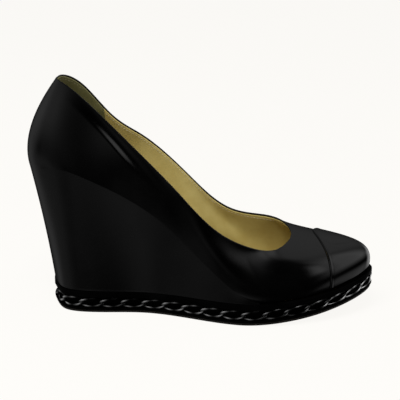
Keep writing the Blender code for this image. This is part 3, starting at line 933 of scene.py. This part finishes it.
# Stitches: waxed black thread along the cap's bead, and pale thread along the lining's edge.
# Each stitch is a short tight round of thread pulled halfway into the leather.
STITCH_LENGTH = 1.7
STITCH_PITCH = 2.3
STITCH_HALF = 0.24
STITCH_STATIONS = np.array([-1.0, -0.75, 0.0, 0.75, 1.0])
STITCH_SIDES = 6
STITCH_SIGHT = 0.2
LINING_STITCH_DOWN = 2.4
LINING_STITCH_SINK = 0.05
CAP_STITCH_SINK = 0.06
THREAD_BLACK = (0.006, 0.006, 0.006)
THREAD_GREY = (0.02, 0.02, 0.02)
THREAD_PALE = (0.42, 0.36, 0.22)
THREAD_CREAM = (0.62, 0.56, 0.40)


def stitch_row(name, line, out, sink, material):
    """Stitches spaced along a line of points: each is a round of thread whose thickness falls to nothing at
    its ends as a fourth power, sunk below the surface."""
    step = np.diff(line, axis=0)
    run = np.concatenate([[0.0], np.cumsum(np.linalg.norm(step, axis=1))])
    at = np.arange(STITCH_PITCH / 2, run[-1], STITCH_PITCH)
    centre, ahead, astern, normal = (
        np.stack([np.interp(at + shift, run, values[:, k]) for k in range(3)], axis=1)
        for values, shift in ((line, 0.0), (line, STITCH_SIGHT), (line, -STITCH_SIGHT), (out, 0.0)))
    along = ahead - astern
    along = along / np.linalg.norm(along, axis=1)[:, None]
    side = np.cross(normal, along)
    turn = 2 * np.pi * np.arange(STITCH_SIDES) / STITCH_SIDES
    thick = STITCH_HALF * (1 - STITCH_STATIONS**4)
    ring = side[:, None, :] * np.cos(turn)[None, :, None] + normal[:, None, :] * np.sin(turn)[None, :, None]
    points = (centre - sink * normal)[:, None, None, :] + ring[:, None] * thick[None, :, None, None]
    points = points + along[:, None, None, :] * (STITCH_LENGTH / 2 * STITCH_STATIONS)[None, :, None, None]
    quads = repeated_quads(len(at), len(STITCH_STATIONS), STITCH_SIDES, False)
    thing = new_piece(name, points, quads[:, ::-1], material)


black_thread = grained_material(
    "black thread", THREAD_BLACK, THREAD_GREY, gloss=(0.45, 0.6), cells=4000, patches=300, relief=0.03)
pale_thread = grained_material(
    "pale thread", THREAD_PALE, THREAD_CREAM, gloss=(0.5, 0.65), cells=4000, patches=300, relief=0.03)

topline_spots = np.append(upper_spots, upper_spots[0] + chord_lengths(feather_sections()).sum())
inner_points, _, _, inner_out = upper_frame(topline_spots, below_topline(topline_spots, LINING_STITCH_DOWN))
inner_line = inner_points - inner_out * LINING_INNER
stitch_row("lining_stitches", inner_line, -inner_out, LINING_STITCH_SINK, pale_thread)
cap_spots, cap_heights = seam_line(CAP_FURROW, CAP_COLUMNS)
cap_line, _, _, cap_out = upper_frame(cap_spots, cap_heights)
cap_line = cap_line + cap_out * (CAP_THICK - CAP_BEAD)
stitch_row("cap_stitches", cap_line, cap_out, CAP_STITCH_SINK, black_thread)

# Studio: a pale glowing floor in a dark room, with soft white walls beside the heel and the toe and a soft
# ceiling behind the shoe. The camera's side is left dark but for a faint light off the floor, and a long lens
# looks at the shoe's outer side.
CAMERA_TURN = np.radians(8.0)
CAMERA_LIFT = np.radians(17.0)
CAMERA_DISTANCE = 0.85
CAMERA_LENS = 112.95
CAMERA_SENSOR = 36.0
CAMERA_NEAR = 0.01
CAMERA_AIM = HOME + np.array([101.8, 0.0, 72.25]) * MM
FLOOR_HALF = 6.0
FLOOR_COLOUR = (0.05, 0.05, 0.0485)
FLOOR_GLOW = (1.0, 0.985, 0.955)
FLOOR_STRENGTH = 0.93
ROOM_LIGHT = 0.005
KEY_PLACE = (-0.2, -0.75, 1.45)
KEY_SIDE = 0.9
KEY_POWER = 29.0

# Soft lights of the room in degrees: the turn from the shoe's outer side to the toe, its half width and fade, then
# the height, its half height and fade, and the brightness
ROOM_WALLS = (
    # place, turn, half width, fade, height, half height, fade, brightness
    ("toe side wall", 92.0, 38.0, 20.0, 42.0, 34.0, 15.0, 0.78),
    ("edge of the toe side wall", 42.0, 9.0, 6.0, 46.0, 16.0, 8.0, 0.85),
    ("heel side wall", -64.0, 48.0, 25.0, 24.0, 16.0, 12.0, 0.34),
    ("behind the heel", -105.0, 25.0, 20.0, -12.0, 28.0, 12.0, 0.2),
    ("floor at the toe", 98.0, 34.0, 16.0, -29.0, 11.0, 8.0, 0.33),
    ("behind the toe", 148.0, 14.0, 8.0, -8.0, 16.0, 8.0, 0.8),
    ("floor in front", -8.0, 12.0, 8.0, -19.0, 9.0, 6.0, 0.2),
    ("floor before the heel", -48.0, 32.0, 14.0, -40.0, 29.0, 6.0, 0.085),
    ("low wall before the heel", -45.0, 19.0, 8.0, -4.0, 7.0, 5.0, 0.08),
    ("foot of the heel side wall", -58.0, 18.0, 12.0, -14.0, 6.0, 6.0, 0.11),
    ("ceiling behind", 180.0, 45.0, 30.0, 85.0, 50.0, 50.0, 0.42),
)


def new_camera():
    """The camera looks back along a direction turned and lifted from the shoe's outer side."""
    level = np.cos(CAMERA_LIFT)
    away = np.array([np.sin(CAMERA_TURN) * level, -np.cos(CAMERA_TURN) * level, np.sin(CAMERA_LIFT)])
    lens = bpy.data.cameras.new("camera")
    lens.lens = CAMERA_LENS
    lens.sensor_width = CAMERA_SENSOR
    lens.clip_start = CAMERA_NEAR
    camera = bpy.data.objects.new("camera", lens)
    camera.location = CAMERA_AIM + CAMERA_DISTANCE * away
    camera.rotation_euler = (np.pi / 2 - CAMERA_LIFT, 0.0, CAMERA_TURN)
    bpy.context.scene.collection.objects.link(camera)
    bpy.context.scene.camera = camera


def new_floor():
    """A wide level square that glows pale by itself, takes a little light from the key, and is left out of the
    shoe's reflections."""
    corners = [(x * FLOOR_HALF, y * FLOOR_HALF, 0) for x, y in ((-1, -1), (1, -1), (1, 1), (-1, 1))]
    mesh = bpy.data.meshes.new("floor")
    mesh.from_pydata(corners, [], [(0, 1, 2, 3)])
    material = bpy.data.materials.new("studio floor")
    material.use_nodes = True
    shader = material.node_tree.nodes["Principled BSDF"]
    shader.inputs["Base Color"].default_value = (*FLOOR_COLOUR, 1)
    shader.inputs["Roughness"].default_value = 1.0
    shader.inputs["Specular IOR Level"].default_value = 0.0
    shader.inputs["Emission Color"].default_value = (*FLOOR_GLOW, 1)
    shader.inputs["Emission Strength"].default_value = FLOOR_STRENGTH
    mesh.materials.append(material)
    floor = bpy.data.objects.new("floor", mesh)
    floor.visible_glossy = False
    bpy.context.scene.collection.objects.link(floor)


def maths(tree, operation, *values):
    """One sum of the room's light: numbers are set, sockets are linked."""
    node = tree.nodes.new("ShaderNodeMath")
    node.operation = operation
    for socket, value in zip(node.inputs, values):
        if isinstance(value, float):
            socket.default_value = value
        else:
            tree.links.new(value, socket)
    return node.outputs[0]


def soft_span(tree, angle, middle, half, fade):
    """1 inside a span of angles and 0 outside, with a smooth fade at both ends; angles wrap round."""
    away = maths(tree, "WRAP", maths(tree, "SUBTRACT", angle, np.radians(middle).item()), np.pi, -np.pi)
    node = tree.nodes.new("ShaderNodeMapRange")
    node.interpolation_type = "SMOOTHSTEP"
    node.inputs["From Min"].default_value = np.radians(half - fade)
    node.inputs["From Max"].default_value = np.radians(half + fade)
    node.inputs["To Min"].default_value = 1.0
    node.inputs["To Max"].default_value = 0.0
    tree.links.new(maths(tree, "ABSOLUTE", away), node.inputs["Value"])
    return node.outputs["Result"]


def new_room():
    """Light by direction: the room's own light plus each soft wall, a span of turn times a span of height."""
    world = bpy.data.worlds.new("soft room")
    bpy.context.scene.world = world
    world.use_nodes = True
    tree = world.node_tree
    where = tree.nodes.new("ShaderNodeTexCoord")
    split = tree.nodes.new("ShaderNodeSeparateXYZ")
    tree.links.new(where.outputs["Generated"], split.inputs["Vector"])
    turn = maths(tree, "ARCTAN2", split.outputs["X"], maths(tree, "MULTIPLY", split.outputs["Y"], -1.0))
    height = maths(tree, "ARCSINE", split.outputs["Z"])
    light = ROOM_LIGHT
    for _, middle, half, fade, up, half_up, fade_up, brightness in ROOM_WALLS:
        beside = soft_span(tree, turn, middle, half, fade)
        over = soft_span(tree, height, up, half_up, fade_up)
        light = maths(tree, "MULTIPLY_ADD", maths(tree, "MULTIPLY", beside, over), brightness, light)
    tree.links.new(light, tree.nodes["Background"].inputs["Color"])


def new_key():
    """A soft panel over the camera that lights the lining and the floor and keeps out of reflections."""
    light = bpy.data.lights.new("key panel", "AREA")
    light.size = KEY_SIDE
    light.energy = KEY_POWER
    panel = bpy.data.objects.new("key panel", light)
    panel.location = KEY_PLACE
    panel.rotation_euler = (Vector(CAMERA_AIM) - panel.location).to_track_quat("-Z", "Y").to_euler()
    panel.visible_glossy = False
    bpy.context.scene.collection.objects.link(panel)


new_camera()
new_floor()
new_room()
new_key()
bpy.context.scene.view_settings.view_transform = "Standard"
